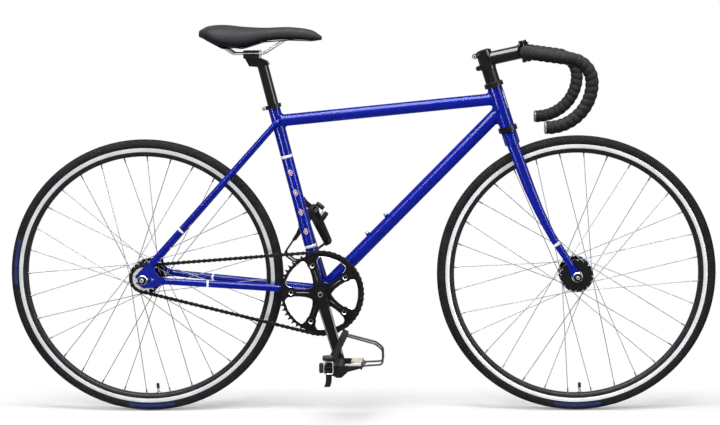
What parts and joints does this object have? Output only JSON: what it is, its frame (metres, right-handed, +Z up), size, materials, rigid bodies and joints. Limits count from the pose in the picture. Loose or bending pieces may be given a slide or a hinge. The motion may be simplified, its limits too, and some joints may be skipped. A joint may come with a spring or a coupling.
{
  "type": "fixed gear bicycle",
  "caption": "Single-speed track bicycle with a drop handlebar, a fixed rear sprocket driven by chain, spoked wheels and pedals with toe clips.",
  "frame": {"origin": "on the ground midway between the two axles, in the bicycle's middle plane", "axes": "+X forward, +Y to the rider's left, +Z up; the chain is on the right, at -Y"},
  "size_m": [1.7229, 0.4312, 0.949],
  "materials": {
    "frame_paint": "gloss blue enamel",
    "black_alloy": "black anodised",
    "steel": "plated",
    "dark_steel": "black oxide",
    "rim_alloy": "black anodised with bright brake tracks",
    "tyre_rubber": "matt",
    "tube_rubber": "matt",
    "bar_tape": "matt cork tape",
    "plug_plastic": "moulded",
    "strap_webbing": "woven",
    "saddle_cover": "smooth stitched"
  },
  "bodies": {
    "frame": {"head_tube": "frame_paint", "top_tube": "frame_paint", "down_tube": "frame_paint", "seat_tube": "frame_paint", "bottom_bracket_shell": "frame_paint", "chain_stays": "frame_paint", "seat_stays": "frame_paint", "rear_dropouts": "frame_paint", "bottle_bosses": "frame_paint", "headset_cups": "black_alloy", "headset_bearings": "steel", "seat_collar": "black_alloy", "bottom_bracket_unit": "steel", "chain": "dark_steel", "rear_axle": "steel"},
    "fork": {"fork_steerer": "steel", "fork_crown": "frame_paint", "fork_blades": "frame_paint", "fork_dropouts": "frame_paint", "headset_spacers": "black_alloy", "stem": "black_alloy", "stem_faceplate": "black_alloy", "stem_bolts": "steel", "handlebar": "black_alloy", "bar_tape": "bar_tape", "bar_end_plugs": "plug_plastic", "front_axle": "steel"},
    "front_wheel": {"front_hub": "black_alloy", "front_hub_bearings": "steel", "front_spokes": "steel", "front_rim": "rim_alloy", "front_tyre": "tyre_rubber", "front_inner_tube": "tube_rubber"},
    "rear_wheel": {"rear_hub": "black_alloy", "rear_hub_bearings": "steel", "rear_spokes": "steel", "rear_rim": "rim_alloy", "rear_tyre": "tyre_rubber", "rear_inner_tube": "tube_rubber", "sprocket": "steel", "lockring": "steel"},
    "crank": {"right_crank": "black_alloy", "left_crank": "black_alloy", "bottom_bracket_spindle": "steel", "chainring": "black_alloy", "chainring_bolts": "steel", "pedal_spindles": "steel"},
    "right_pedal": {"right_pedal_body": "black_alloy", "right_toe_clip": "dark_steel", "right_toe_strap": "strap_webbing", "right_strap_buckle": "steel"},
    "left_pedal": {"left_pedal_body": "black_alloy", "left_toe_clip": "dark_steel", "left_toe_strap": "strap_webbing", "left_strap_buckle": "steel"},
    "seatpost": {"seatpost": "black_alloy", "seatpost_clamp": "black_alloy", "saddle_rails": "steel", "saddle_shell": "plug_plastic", "saddle_cover": "saddle_cover"}
  },
  "joints": [
    {"name": "steering", "type": "hinge", "parent": "frame", "child": "fork", "pos_m": [0.35885, 0, 0.69704], "axis": [-0.299, 0, 0.9542], "range_deg": [-90, 90]},
    {"name": "front_wheel_spin", "type": "hinge", "parent": "fork", "child": "front_wheel", "pos_m": [0.5245, 0, 0.337], "axis": [0, 1, 0], "continuous": true},
    {"name": "rear_wheel_spin", "type": "hinge", "parent": "frame", "child": "rear_wheel", "pos_m": [-0.5245, 0, 0.337], "axis": [0, 1, 0], "continuous": true, "deforming": ["chain"]},
    {"name": "crank_spin", "type": "hinge", "parent": "frame", "child": "crank", "pos_m": [-0.0935, 0, 0.299], "axis": [0, 1, 0], "continuous": true, "deforming": ["chain"]},
    {"name": "right_pedal_spin", "type": "hinge", "parent": "crank", "child": "right_pedal", "pos_m": [-0.04778, -0.126, 0.13526], "axis": [0, 1, 0], "continuous": true},
    {"name": "left_pedal_spin", "type": "hinge", "parent": "crank", "child": "left_pedal", "pos_m": [-0.13922, 0.126, 0.46274], "axis": [0, 1, 0], "continuous": true},
    {"name": "seatpost_height", "type": "slide", "parent": "frame", "child": "seatpost", "axis": [-0.2379, 0, 0.9713], "range_m": [-0.07, 0.06]}
  ],
  "couplings": [
    {"joint": "crank_spin", "follows": "rear_wheel_spin", "ratio": 0.32}
  ]
}
